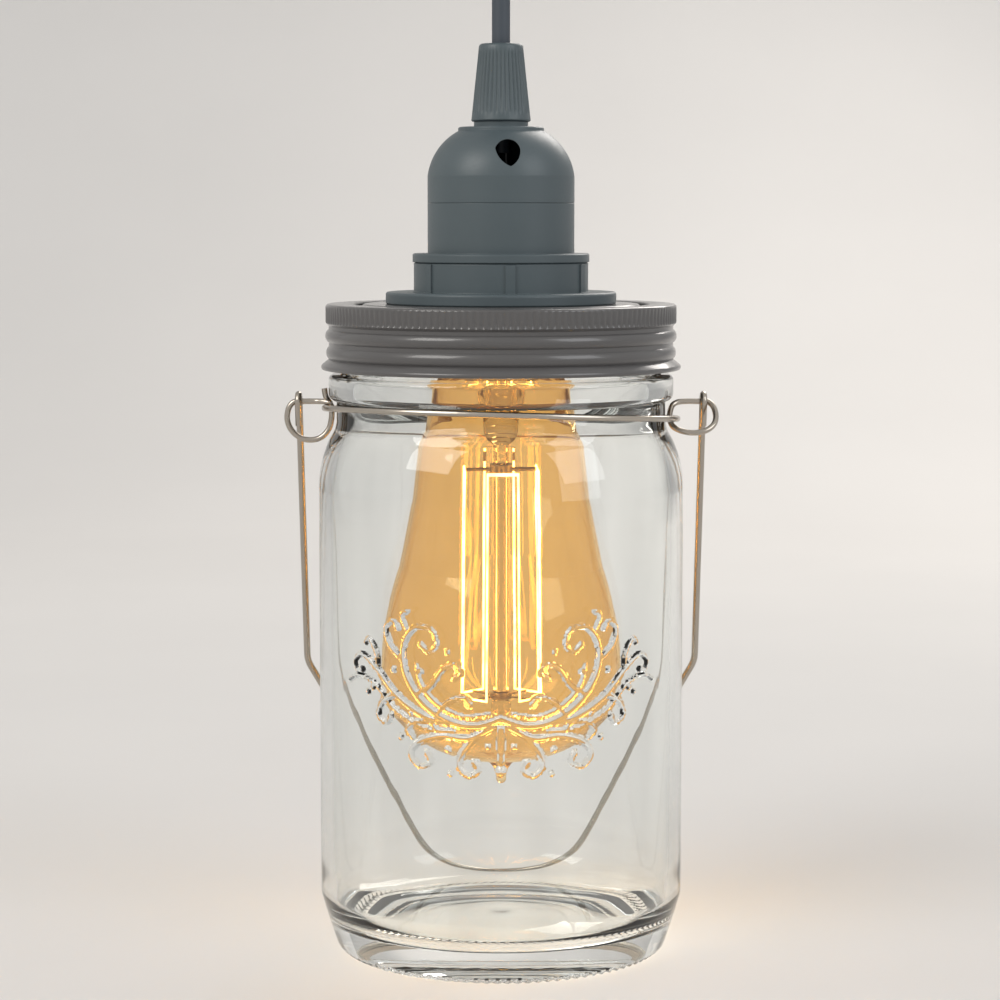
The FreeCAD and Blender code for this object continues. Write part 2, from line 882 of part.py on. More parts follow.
turned(
    "glass_stem",
    (0, 0),
    [
        (D.stem_r * 0.4, 0),
        (D.stem_r * 1.05, 0.7, D.stem_r * 1.3, 2.2),
        (D.stem_r * 1.2, 3.4, D.stem_r, 4.0),
        (D.stem_r, stem_tall - 22.0),
        (D.stem_r * 2.1, stem_tall - 15.0),
        (D.stem_r * 2.3, stem_tall - 11.0),
        (D.stem_r * 3.6, stem_tall - 4.2, flare_r, stem_tall - 1.0),
        (flare_r, stem_tall),
        (D.stem_r * 3.2, stem_tall - 3.2, D.stem_r * 0.6, stem_tall - 9.0),
        (0, stem_tall - 9.0),
    ],
    stem_low,
)
strands = int(round(float(D.cage_strands)))
step = 360.0 / strands
first = 180.0 + step / 2 + 3.0
wide = D.cage_r + D.cage_flare
path = []
for k in range(strands):
    ends = [around(D.cage_r, first + step * k, cage_top), around(wide, first + step * k, cage_low)]
    path += ends if k % 2 == 0 else ends[::-1]
shaped("filament", run(path, D.strand_r))


def spider(label, z, reach, turns):
    inner = float(D.stem_r) + 0.1
    hub = Part.makeCylinder(inner + 0.8, 1.6, Vector(0, 0, float(z) - 0.8))
    hub = hub.cut(Part.makeCylinder(inner, 2.0, Vector(0, 0, float(z) - 1.0)))
    arms = []
    for turn in turns:
        one = around(inner + 0.4, turn, z)
        other = around(reach, turn, z)
        arms.append(Part.makeCylinder(float(D.hook_r), (other - one).Length, one, other - one))
    shaped(label, [hub] + arms)


near = math.cos(math.radians(step / 2))
spider(
    "hooks_top", cage_top, float(D.cage_r) * near - float(D.strand_r) - 0.1,
    [first + step * (k + 0.5) for k in range(1, strands - 1, 2)],
)
spider(
    "hooks_low", cage_low, float(wide) * near - float(D.strand_r) - 0.1,
    [first + step * (k + 0.5) for k in range(0, strands, 2)],
)
for label, turn in (("lead_right", first + step * (strands - 1)), ("lead_left", first)):
    lead = [
        around(float(D.stem_r) + float(D.lead_r) + 0.1, turn, float(cage_top) + 5.2),
        around(float(D.stem_r) + float(D.lead_r) + 0.1, turn, float(cage_top) + 4.2),
        around(D.cage_r, turn, float(cage_top) + 1.6),
        around(D.cage_r, turn, float(cage_top) + 0.1),
    ]
    shaped(label, run(lead, D.lead_r))

# The wire handle: a wire round the neck, a ring linked to it on each side, and the swinging bail

ear_z = D.neck_h + D.ear_above_neck
neck_wire_z = ear_z - D.neck_wire_down
long_r = D.neck_r + D.ear_gap * 2 + D.ear_wire_r * 2 + D.neck_wire_r
short_r = D.neck_r + D.neck_wire_gap + D.neck_wire_r
loop = doc.addObject("Part::Ellipse", "neck_loop")
loop.MajorRadius = float(long_r)
loop.MinorRadius = float(short_r)
bind(loop, "MajorRadius", long_r)
bind(loop, "MinorRadius", short_r)
sideways = Rotation(Vector(0, 1, 0), float(D.neck_wire_tilt))
tilt = sideways * Rotation(Vector(1, 0, 0), -float(D.neck_wire_rise))
loop.Placement = Placement(Vector(0, 0, float(neck_wire_z)), tilt)
bind(loop, "Placement.Base.z", neck_wire_z)
doc.recompute()
swept(
    "neck_wire", D.neck_wire_r, loop,
    Vector(0, 0, float(neck_wire_z)) + tilt.multVec(Vector(float(long_r), 0, 0)),
    tilt.multVec(Vector(0, 1, 0)),
)

# Each ear ring: a straight top wire, a round outer end and a bent inner corner, in two halves

ear_in = float(D.neck_r + D.ear_gap + D.ear_wire_r)
ear_out = float(D.bail_half) + 0.8
ear_middle = (ear_in + ear_out) / 2
ear_top = float(ear_z)
ear_low = ear_top - float(D.ear_tall)
corner = float(D.ear_corner)
tuck = float(D.ear_tuck)


def ear_at(x, z):
    return Vector(x, 0, z)


def quarter_bend(x, z, radius, degrees):
    # a quarter turn about a centre, from that many degrees on
    turns = [math.radians(degrees + step) for step in (0, 45, 90)]
    return Part.Arc(*[ear_at(x + radius * math.cos(t), z + radius * math.sin(t)) for t in turns]).toShape()


outer_half = [
    Part.makeLine(ear_at(ear_middle, ear_top), ear_at(ear_out, ear_top)),
    Part.Arc(
        ear_at(ear_out, ear_top),
        ear_at(ear_out + (ear_top - ear_low) / 2, (ear_top + ear_low) / 2),
        ear_at(ear_out, ear_low),
    ).toShape(),
    Part.makeLine(ear_at(ear_out, ear_low), ear_at(ear_middle, ear_low)),
]
inner_half = [
    Part.makeLine(ear_at(ear_middle, ear_top), ear_at(ear_in + tuck, ear_top)),
    quarter_bend(ear_in + tuck, ear_top - tuck, tuck, 90),
    Part.makeLine(ear_at(ear_in, ear_top - tuck), ear_at(ear_in, ear_low + corner)),
    quarter_bend(ear_in + corner, ear_low + corner, corner, 180),
    Part.makeLine(ear_at(ear_in + corner, ear_low), ear_at(ear_middle, ear_low)),
]
for side, turn in (("left", 180), ("right", 0)):
    ear = shaped("ear_ring_" + side, [bent(outer_half, D.ear_wire_r), bent(inner_half, D.ear_wire_r)])
    ear.Placement = Placement(Vector(0, 0, 0), Rotation(Vector(0, 0, 1), turn))

# The bail: a hook at each end, a straight leg, a bend and one round bow

half = float(D.bail_half)
hook = float(D.bail_hook_r)
leg = float(D.bail_leg)
bow = float(D.bail_bow_r)
long = float(D.bail_long)
bend = float(D.bail_bend_r)
slant = 0.45
for again in range(60):
    slant = math.atan2(half - bow * math.cos(slant), long - bow + bow * math.sin(slant) - leg)
cut = bend * math.tan(slant / 2)


def at(x, down, back=hook):
    return Vector(x, back, -down)


def side_of(sign):
    turn_in = (half - bend + bend * math.cos(slant / 2), leg - cut + bend * math.sin(slant / 2))
    stop = (half - cut * math.sin(slant), leg + cut * math.cos(slant))
    meet = (bow * math.cos(slant), long - bow + bow * math.sin(slant))
    return [
        Part.makeLine(at(sign * half, float(D.bail_tail), -hook), at(sign * half, 0, -hook)),
        Part.Arc(at(sign * half, 0, -hook), at(sign * half, -hook, 0), at(sign * half, 0)).toShape(),
        Part.makeLine(at(sign * half, 0), at(sign * half, leg - cut)),
        Part.Arc(
            at(sign * half, leg - cut), at(sign * turn_in[0], turn_in[1]), at(sign * stop[0], stop[1]),
        ).toShape(),
        Part.makeLine(at(sign * stop[0], stop[1]), at(sign * meet[0], meet[1])),
        Part.Arc(
            at(sign * meet[0], meet[1]),
            at(sign * bow * math.sin(0.5), long - bow + bow * math.cos(0.5)),
            at(0, long),
        ).toShape(),
    ]


halves = []
for sign in (1, -1):
    halves.append(bent(side_of(sign), D.bail_wire_r))
bail = shaped("bail_handle", halves)
bail.Placement = Placement(Vector(0, 0, float(ear_z)), Rotation(Vector(1, 0, 0), float(D.bail_lean)))
bind(bail, "Placement.Base.z", ear_z)

# Check and write the pieces

doc.recompute()
os.makedirs("parts", exist_ok=True)
for item in doc.Objects:
    if "Invalid" in item.State or "Error" in item.State:
        raise RuntimeError("broken: " + item.Name + " " + str(item.State))
for item in NODES:
    shape = item.Shape
    if shape.isNull() or not shape.isValid() or not shape.Solids:
        raise RuntimeError("bad shape: " + item.Label)
    shape.exportStep("parts/" + item.Label + ".step")
    print(item.Label, len(shape.Solids), "solids", round(shape.Volume, 1), "mm3")
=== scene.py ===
import json
import math

import bmesh
import bpy
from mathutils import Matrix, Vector
from mathutils.kdtree import KDTree


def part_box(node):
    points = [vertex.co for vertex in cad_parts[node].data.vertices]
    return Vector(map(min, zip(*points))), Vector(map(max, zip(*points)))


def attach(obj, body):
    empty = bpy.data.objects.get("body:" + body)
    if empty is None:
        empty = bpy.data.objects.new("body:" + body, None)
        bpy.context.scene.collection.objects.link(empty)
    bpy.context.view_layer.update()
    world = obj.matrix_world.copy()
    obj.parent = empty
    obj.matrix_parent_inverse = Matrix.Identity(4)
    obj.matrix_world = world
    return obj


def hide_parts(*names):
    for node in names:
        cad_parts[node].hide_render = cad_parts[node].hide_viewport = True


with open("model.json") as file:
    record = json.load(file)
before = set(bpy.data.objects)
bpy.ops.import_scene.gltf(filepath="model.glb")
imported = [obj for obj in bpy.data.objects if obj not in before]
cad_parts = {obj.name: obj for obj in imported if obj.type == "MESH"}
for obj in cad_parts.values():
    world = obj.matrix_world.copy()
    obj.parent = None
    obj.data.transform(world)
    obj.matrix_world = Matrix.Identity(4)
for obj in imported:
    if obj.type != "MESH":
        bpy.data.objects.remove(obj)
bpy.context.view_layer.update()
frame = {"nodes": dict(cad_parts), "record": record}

MM = 0.001
TURN = 2 * math.pi
NODES = frame["nodes"]
RAMP_START, RAMP_END = 0.3, 0.7
SHADOW_PASS = 0.94
DEEP_TINT = 0.96
COAT_ROUGH = 0.08
LEAST_ROUGH = 0.02
GRAIN_TALL, RIPPLE_TALL = 0.1 * MM, 1.0 * MM
HEAT_SCALE = 160.0


# Node materials

def new_material(name):
    material = bpy.data.materials.new(name)
    material.use_nodes = True
    tree = material.node_tree
    tree.nodes.clear()
    out = tree.nodes.new("ShaderNodeOutputMaterial")
    return material, tree, out


def link(tree, source, target):
    tree.links.new(source, target)


def noise(tree, scale, detail=4.0, stretch=None):
    place = tree.nodes.new("ShaderNodeTexCoord")
    cloud = tree.nodes.new("ShaderNodeTexNoise")
    cloud.inputs["Scale"].default_value = scale
    cloud.inputs["Detail"].default_value = detail
    if stretch is None:
        link(tree, place.outputs["Object"], cloud.inputs["Vector"])
    else:
        mapping = tree.nodes.new("ShaderNodeMapping")
        mapping.inputs["Scale"].default_value = stretch
        link(tree, place.outputs["Object"], mapping.inputs["Vector"])
        link(tree, mapping.outputs["Vector"], cloud.inputs["Vector"])
    return cloud.outputs["Fac"]


def ramp(tree, factor, low, high):
    blend = tree.nodes.new("ShaderNodeValToRGB")
    blend.color_ramp.elements[0].position = RAMP_START
    blend.color_ramp.elements[1].position = RAMP_END
    blend.color_ramp.elements[0].color = (*low, 1)
    blend.color_ramp.elements[1].color = (*high, 1)
    link(tree, factor, blend.inputs["Fac"])
    return blend.outputs["Color"]


def linear(color):
    return tuple(((c + 0.055) / 1.055) ** 2.4 if c > 0.04045 else c / 12.92 for c in color)


def surface(name, color, rough=0.4, metal=0.0, spread=0.12, grain=900.0, cloud=60.0,
            bump=0.08, coat=0.0, vary=0.07, edge=0.0, shine=0.5):
    # colour is sRGB, and a broad cloud varies it by spread
    # a fine grain varies the roughness by vary and is raised by bump; edges look rounded by edge mm
    material, tree, out = new_material(name)
    shader = tree.nodes.new("ShaderNodeBsdfPrincipled")
    base = linear(color)
    low = tuple(c * (1 - spread) for c in base)
    high = tuple(min(1.0, c * (1 + spread)) for c in base)
    link(tree, ramp(tree, noise(tree, cloud), low, high), shader.inputs["Base Color"])
    fine = noise(tree, grain, detail=6.0)
    level = tree.nodes.new("ShaderNodeMapRange")
    level.inputs["To Min"].default_value = max(LEAST_ROUGH, rough - vary)
    level.inputs["To Max"].default_value = rough + vary
    link(tree, fine, level.inputs["Value"])
    link(tree, level.outputs["Result"], shader.inputs["Roughness"])
    shader.inputs["Metallic"].default_value = metal
    shader.inputs["Specular IOR Level"].default_value = shine
    shader.inputs["Coat Weight"].default_value = coat
    shader.inputs["Coat Roughness"].default_value = COAT_ROUGH
    if bump:
        raised = tree.nodes.new("ShaderNodeBump")
        raised.inputs["Strength"].default_value = bump
        raised.inputs["Distance"].default_value = GRAIN_TALL
        link(tree, fine, raised.inputs["Height"])
        link(tree, raised.outputs["Normal"], shader.inputs["Normal"])
        if edge:
            rounded = tree.nodes.new("ShaderNodeBevel")
            rounded.samples = 4
            rounded.inputs["Radius"].default_value = edge * MM
            link(tree, rounded.outputs["Normal"], raised.inputs["Normal"])
    link(tree, shader.outputs["BSDF"], out.inputs["Surface"])
    return material


def glass(name, color, ior=1.5, ripple=0.02, ripple_scale=45.0, stretch=None, glow=None):
    # light from lamps passes straight through, so that what is inside is lit
    # glow is painted light: an even emission of this colour and strength that stands in for the light the
    # glass itself scatters
    material, tree, out = new_material(name)
    shader = tree.nodes.new("ShaderNodeBsdfGlass")
    shader.inputs["IOR"].default_value = ior
    shader.inputs["Roughness"].default_value = 0.0
    tint = linear(color)
    deep = tuple(c * DEEP_TINT for c in tint)
    waves = noise(tree, ripple_scale, detail=2.0, stretch=stretch)
    link(tree, ramp(tree, waves, deep, tint), shader.inputs["Color"])
    raised = tree.nodes.new("ShaderNodeBump")
    raised.inputs["Strength"].default_value = ripple
    raised.inputs["Distance"].default_value = RIPPLE_TALL
    link(tree, waves, raised.inputs["Height"])
    link(tree, raised.outputs["Normal"], shader.inputs["Normal"])
    clear = tree.nodes.new("ShaderNodeBsdfTransparent")
    clear.inputs["Color"].default_value = (*[SHADOW_PASS * c for c in tint], 1)
    path = tree.nodes.new("ShaderNodeLightPath")
    mix = tree.nodes.new("ShaderNodeMixShader")
    link(tree, path.outputs["Is Shadow Ray"], mix.inputs["Fac"])
    link(tree, shader.outputs["BSDF"], mix.inputs[1])
    link(tree, clear.outputs["BSDF"], mix.inputs[2])
    seen = mix.outputs["Shader"]
    if glow:
        light = tree.nodes.new("ShaderNodeEmission")
        light.inputs["Color"].default_value = (*linear(glow[0]), 1)
        light.inputs["Strength"].default_value = glow[1]
        both = tree.nodes.new("ShaderNodeAddShader")
        link(tree, seen, both.inputs[0])
        link(tree, light.outputs["Emission"], both.inputs[1])
        seen = both.outputs["Shader"]
    link(tree, seen, out.inputs["Surface"])
    return material


def glowing(name, core, edge, strength):
    # hotter and cooler stretches along the wire
    material, tree, out = new_material(name)
    shader = tree.nodes.new("ShaderNodeBsdfPrincipled")
    shader.inputs["Base Color"].default_value = (*linear(edge), 1)
    shader.inputs["Roughness"].default_value = 0.5
    heat = ramp(tree, noise(tree, HEAT_SCALE, detail=2.0), linear(edge), linear(core))
    link(tree, heat, shader.inputs["Emission Color"])
    shader.inputs["Emission Strength"].default_value = strength
    link(tree, shader.outputs["BSDF"], out.inputs["Surface"])
    return material


JAR_GLASS = glass("clear_glass", (0.996, 0.999, 0.997), ripple=0.05, ripple_scale=70.0, stretch=(1, 1, 0.15))
# the amber glass carries a faint painted glow, an emission standing in for the light it scatters
AMBER = glass("amber_glass", (0.996, 0.945, 0.83), ior=1.42, ripple=0.01, glow=((1.0, 0.64, 0.2), 0.038))
STEM = glass("stem_glass", (0.98, 0.97, 0.95), ior=1.45, ripple=0.0)
LID = surface("lid_paint", (0.33, 0.323, 0.32), rough=0.30, spread=0.03, grain=5000.0, cloud=25.0,
              bump=0.03, coat=0.45, vary=0.03)
PLASTIC = surface("holder_plastic", (0.315, 0.358, 0.372), rough=0.42, spread=0.07, grain=1600.0,
                  cloud=40.0, bump=0.10, edge=0.4)
CORD = surface("cord_sleeve", (0.26, 0.288, 0.318), rough=0.5, spread=0.08, grain=1200.0, cloud=80.0,
               bump=0.10)
RUBBER = surface("seal_rubber", (0.45, 0.16, 0.10), rough=0.6, spread=0.1)
STEEL = surface("steel_wire", (0.69, 0.66, 0.62), rough=0.24, metal=1.0, spread=0.06, grain=1500.0,
                bump=0.02, vary=0.04)
PLATE = surface("plate_steel", (0.70, 0.70, 0.70), rough=0.35, metal=1.0, spread=0.08, grain=500.0, bump=0.05)
BRASS = surface("contact_brass", (0.80, 0.63, 0.36), rough=0.25, metal=1.0, spread=0.08, grain=600.0,
                cloud=50.0, bump=0.04)
CERAMIC = surface("core_ceramic", (0.85, 0.83, 0.78), rough=0.35, spread=0.05)
SLEEVE = surface("conductor_sleeve", (0.12, 0.12, 0.13), rough=0.3, spread=0.1)
BLACK = surface("base_black", (0.05, 0.05, 0.055), rough=0.2, spread=0.15)
SUPPORT = surface("support_wire", (0.50, 0.46, 0.42), rough=0.35, metal=1.0, spread=0.1)
GLOW = glowing("filament_glow", (1.0, 0.86, 0.56), (1.0, 0.74, 0.36), 14.0)

MATERIAL_OF = {
    "clear_glass": JAR_GLASS, "steel_wire": STEEL, "lid_paint": LID, "seal_rubber": RUBBER,
    "holder_plastic": PLASTIC, "core_ceramic": CERAMIC, "contact_brass": BRASS,
    "conductor_sleeve": SLEEVE, "cord_sleeve": CORD, "plate_steel": PLATE, "amber_glass": AMBER,
    "base_black": BLACK, "stem_glass": STEM, "support_wire": SUPPORT, "filament_glow": GLOW,
}
SLOT_OF = {part["node"]: part["material_slot"] for part in frame["record"]["subparts"]}

SMOOTH_ANGLE = math.radians(38)
for name, thing in NODES.items():
    thing.data.materials.clear()
    thing.data.materials.append(MATERIAL_OF[SLOT_OF[name]])
    thing.data.polygons.foreach_set("use_smooth", [True] * len(thing.data.polygons))
    thing.data.set_sharp_from_angle(angle=SMOOTH_ANGLE)


# Sizes of a node in mm

def heights(node):
    low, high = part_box(node)
    return low[2] / MM, high[2] / MM


def half_width(node):
    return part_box(node)[1][0] / MM


# Lines and turned pieces

def between(a, b, c, d, t):
    # a Catmull-Rom value between b and c
    slope = c - a
    bend = 2 * a - 5 * b + 4 * c - d
    twist = 3 * b - a - 3 * c + d
    return 0.5 * (2 * b + slope * t + bend * t * t + twist * t ** 3)


def smooth_line(points, count):
    # a smooth line through the points, with count steps from each to the next
    line = []
    ends = [points[0]] + list(points) + [points[-1]]
    for four in zip(ends, ends[1:], ends[2:], ends[3:]):
        for k in range(count):
            line.append(tuple(between(*values, k / count) for values in zip(*four)))
    line.append(tuple(points[-1]))
    return line


def arc(start, way, end, count):
    # points after start on the circle through three points of an outline
    ax, ay = start
    bx, by = way
    cx, cy = end
    a_far, b_far, c_far = (x * x + y * y for x, y in (start, way, end))
    d = 2 * (ax * (by - cy) + bx * (cy - ay) + cx * (ay - by))
    ux = (a_far * (by - cy) + b_far * (cy - ay) + c_far * (ay - by)) / d
    uy = (a_far * (cx - bx) + b_far * (ax - cx) + c_far * (bx - ax)) / d
    radius = math.hypot(ax - ux, ay - uy)
    first, middle, last = (math.atan2(y - uy, x - ux) for x, y in (start, way, end))
    sweep = (last - first) % TURN
    if (middle - first) % TURN > sweep:
        sweep -= TURN
    turns = [first + sweep * k / count for k in range(1, count + 1)]
    return [(ux + radius * math.cos(turn), uy + radius * math.sin(turn)) for turn in turns]


def quarter(start, corner, end, count):
    # points after start on the quarter circle that rounds the corner off
    dip = 1 - math.sqrt(0.5)
    way = [c + dip * (a + b - 2 * c) for a, c, b in zip(start, corner, end)]
    return arc(start, way, end, count)


def spans(ring, stops):
    # the ring's points from each stop to the next, both ends included, the last one back to the start
    spots = list(ring.values())
    spots.append(spots[0])
    place = {angle: k for k, angle in enumerate(ring)}
    marks = [place[angle] for angle in stops] + [len(ring)]
    return [spots[a:b + 1] for a, b in zip(marks, marks[1:])]


def turned(name, outline, angles, reach, material, body, closed=True, lift=None):
    # outline is (r, z) in mm; reach(r, z, angle) gives the radius there and lift what is added to z
    # angles is a list, or angles(r, z) gives each row its own, and rows are joined at the angles they share
    mesh = bpy.data.meshes.new(name)
    build = bmesh.new()
    rings = []
    for r, z in outline:
        if r == 0:
            rings.append({0.0: build.verts.new((0, 0, z * MM))})
            continue
        ring = {}
        for angle in angles(r, z) if callable(angles) else angles:
            wide = reach(r, z, angle) * MM
            high = (z + lift(r, z, angle) if lift else z) * MM
            ring[angle] = build.verts.new((wide * math.sin(angle), -wide * math.cos(angle), high))
        rings.append(ring)
    pairs = list(zip(rings, rings[1:]))
    if closed:
        pairs.append((rings[-1], rings[0]))
    for one, other in pairs:
        small, large = sorted((one, other), key=len)
        if len(small) == 1:
            tip = list(small.values())
            for edge in spans(large, large):
                build.faces.new(tip + edge)
            continue
        stops = [angle for angle in one if angle in other]
        for low, high in zip(spans(one, stops), spans(other, stops)):
            build.faces.new(low + high[::-1])
    bmesh.ops.recalc_face_normals(build, faces=build.faces)
    build.to_mesh(mesh)
    build.free()
    mesh.polygons.foreach_set("use_smooth", [True] * len(mesh.polygons))
    mesh.set_sharp_from_angle(angle=SMOOTH_ANGLE)
    thing = bpy.data.objects.new(name, mesh)
    bpy.context.collection.objects.link(thing)
    mesh.materials.append(material)
    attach(thing, body)
    return thing


def even(count):
    return [TURN * k / count for k in range(count)]


# Round wires

WIRE_STEPS = 8


def wire(name, path, radius, material, body, closed=False):
    # a round wire through points in mm
    curve = bpy.data.curves.new(name, "CURVE")
    curve.dimensions = "3D"
    curve.bevel_depth = radius * MM
    curve.bevel_resolution = 6
    curve.use_fill_caps = True
    if closed:
        points = smooth_line(path[-1:] + path + path[:2], WIRE_STEPS)[WIRE_STEPS:-WIRE_STEPS - 1]
    else:
        points = smooth_line(path, WIRE_STEPS)
    spline = curve.splines.new("POLY")
    spline.use_cyclic_u = closed
    spline.points.add(len(points) - 1)
    for point, spot in zip(spline.points, points):
        point.co = (*[c * MM for c in spot], 1)
    spline.use_smooth = True
    curve.materials.append(material)
    thing = bpy.data.objects.new(name, curve)
    bpy.context.collection.objects.link(thing)
    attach(thing, body)
    return thing


# The jar, with its thread and the raised scrollwork on its front

JAR_R = 47.5
WALL = 3.3
NECK_R, NECK_H = 42.8, 139.0
BEAD_R, BEAD_H, BEAD_TOP, BEAD_ROUND = 44.8, 144.2, 151.0, 1.4
FINISH_R, FINISH_LOW, FINISH_FOOT_R = 41.2, 151.5, 41.8
RIM_H = heights("glass_jar")[1]
MOUTH_R, RIM_ROUND, MOUTH_ROUND = 38.1, 0.9, 0.7
SHOULDER_H, HEEL_H = 121.5, 15.0
INSIDE_R = JAR_R - WALL
INSIDE_DROP = 1.0
SCROLL_LOW, SCROLL_TALL = 51.0, 44.0
SCROLL_TOP = SCROLL_LOW + SCROLL_TALL
SCROLL_ARC = math.radians(57)
BACK_STEP = math.radians(1)
SCROLL_STEP = 0.38
PUSH_UP = [(0, 3.6), (20.3, 2.8), (36.8, 0)]
FOOT_ROWS = [37.2, 37.7, 38.8, 39.9, 40.4, 40.8]
FOOT_BEND, FOOT_EDGE, HEEL_MID = (42.48, 0.56), (43.5, 2.0), (45.75, 8.8)
INSIDE_HEEL = [(INSIDE_R, 16.0), (INSIDE_R - 2.6, 11.0), (INSIDE_R - 9.0, 8.4)]
INSIDE_FLOOR = [(24, 8.7), (12, 9.1), (0, 9.4)]
WALL_STEP, INSIDE_STEP, FINISH_STEP = 6.0, 8.0, 0.55
NECK_ROW, BEAD_ROW, MOUTH_ROW = 141.5, 148.4, 156.0
FOOT_TICKS = 100
TICK_DEEP, TICK_TOP, TICK_SLANT = 0.4, 1.2, 0.02

# Points of the shoulder, as shares of the way in to the neck and of the way up to it
SHOULDER_SHARES = [(0.18, 0.40), (0.66, 0.75), (0.92, 0.89)]
INSIDE_SHARES = (0.42, 0.52)

# Scrolls of the right half, as (across, above SCROLL_LOW, half width) in mm on the unrolled front
SCROLLS = [
    [(0, 17.4, 1), (6, 15.6, 1.05), (13, 16.6, 1.1), (20, 21.2, 1), (24.6, 28, 0.9), (25.2, 35, 0.8),
     (22, 39.6, 0.7), (17.6, 39.2, 0.65), (16.2, 35.8, 0.6), (18.4, 33.8, 0.6), (20.4, 35.4, 0.75)],
    [(9, 15.8, 0.8), (18, 17.2, 0.9), (26.5, 21.8, 0.9), (33, 28, 0.8), (38.2, 31.4, 0.7),
     (41.4, 30, 0.6), (41, 27.4, 0.6), (38.8, 27.6, 0.8)],
    [(2, 15.4, 0.8), (8, 12.6, 0.9), (14.5, 13, 0.9), (20.5, 11.4, 0.8), (23.2, 8, 0.7),
     (20.8, 5, 0.65), (17.8, 6.2, 0.6), (18.8, 8.6, 0.75)],
    [(5, 14, 0.7), (9, 9.8, 0.8), (10.4, 5.6, 0.7), (8, 3.2, 0.6), (5.6, 4.6, 0.6), (6.6, 6.8, 0.7)],
    [(21.5, 23, 0.7), (17.6, 25.4, 0.75), (14.6, 29.6, 0.7), (11.4, 30.8, 0.6), (10.2, 28.6, 0.6),
     (12, 27.4, 0.7)],
    [(25, 31, 0.7), (29.2, 34.6, 0.75), (30.6, 38.8, 0.65), (28.4, 40.8, 0.55), (27, 39, 0.7)],
    [(27.5, 22.6, 0.7), (31.5, 20.4, 0.75), (33, 16.8, 0.65), (30.6, 15, 0.55), (29, 16.8, 0.7)],
    [(16, 18.4, 0.6), (13.2, 21.4, 0.7), (9.6, 22.6, 0.6), (7.8, 21, 0.7)],
    [(15.5, 13, 0.6), (17.6, 16, 0.6), (21.6, 16.2, 0.65), (24, 14, 0.6), (22.6, 12.2, 0.7)],
    [(0, 15, 0.9), (0, 10.6, 1.1), (0, 6.6, 0.6)],
    [(33.4, 28.2, 0.6), (33.6, 32.4, 0.7), (36.2, 35.6, 0.55), (37.6, 34.4, 0.6)],
    [(3, 18.6, 0.6), (9.5, 18, 0.65), (15.6, 20.6, 0.7), (20.2, 25.4, 0.6), (21.6, 30.4, 0.5)],
    [(12, 14.4, 0.6), (19.6, 14.8, 0.65), (27.6, 18.6, 0.65), (34.4, 24.6, 0.6), (40.2, 26, 0.5),
     (44.4, 24.4, 0.5)],
    [(24.4, 39.2, 0.55), (25.8, 42.2, 0.6), (24.2, 43.6, 0.6)],
]
BEADS = [
    (0, 4.4, 1.1), (3.2, 10.6, 0.75), (13.2, 9.6, 0.8), (26, 12, 0.75), (34.8, 23.8, 0.8),
    (36.6, 22.2, 0.7), (28.4, 28.6, 0.8), (20.4, 28.8, 0.7), (13.4, 34, 0.7), (23.2, 18.2, 0.6),
    (12.6, 3.6, 0.7),
]
SCROLL_RISE = 0.95
FULL_RISE_WIDTH = 0.8
SCROLL_POINTS = 14

spots = []
for scroll in SCROLLS:
    spots += smooth_line(scroll, SCROLL_POINTS)
spots += BEADS
spots += [(-across, up, wide) for across, up, wide in spots]
widest = max(wide for across, up, wide in spots)
scroll_tree = KDTree(len(spots))
for index, (across, up, wide) in enumerate(spots):
    scroll_tree.insert((across, up, 0), index)
scroll_tree.balance()


def scroll_height(across, up):
    # round ridges; the narrow ones rise less
    best = 0.0
    for _, index, gap in scroll_tree.find_range((across, up, 0), widest):
        wide = spots[index][2]
        if gap < wide:
            best = max(best, math.sqrt(1 - (gap / wide) ** 2) * min(1.0, wide / FULL_RISE_WIDTH))
    return SCROLL_RISE * best


THREAD_LOW, THREAD_TOP, THREAD_PITCH, THREAD_RISE = 153.0, 164.0, 6.35, 1.3
THREAD_FADE, THREAD_HALF = 1.5, 0.22


def thread_height(z, angle):
    fade = max(0.0, min(1.0, (z - THREAD_LOW) / THREAD_FADE, (THREAD_TOP - z) / THREAD_FADE))
    phase = ((z - THREAD_LOW) / THREAD_PITCH - angle / TURN) % 1.0
    return THREAD_RISE * fade * max(0.0, 1 - ((phase - 0.5) / THREAD_HALF) ** 2)


def rows(low, high, step):
    count = max(1, round((high - low) / step))
    return [low + (high - low) * k / count for k in range(count + 1)]


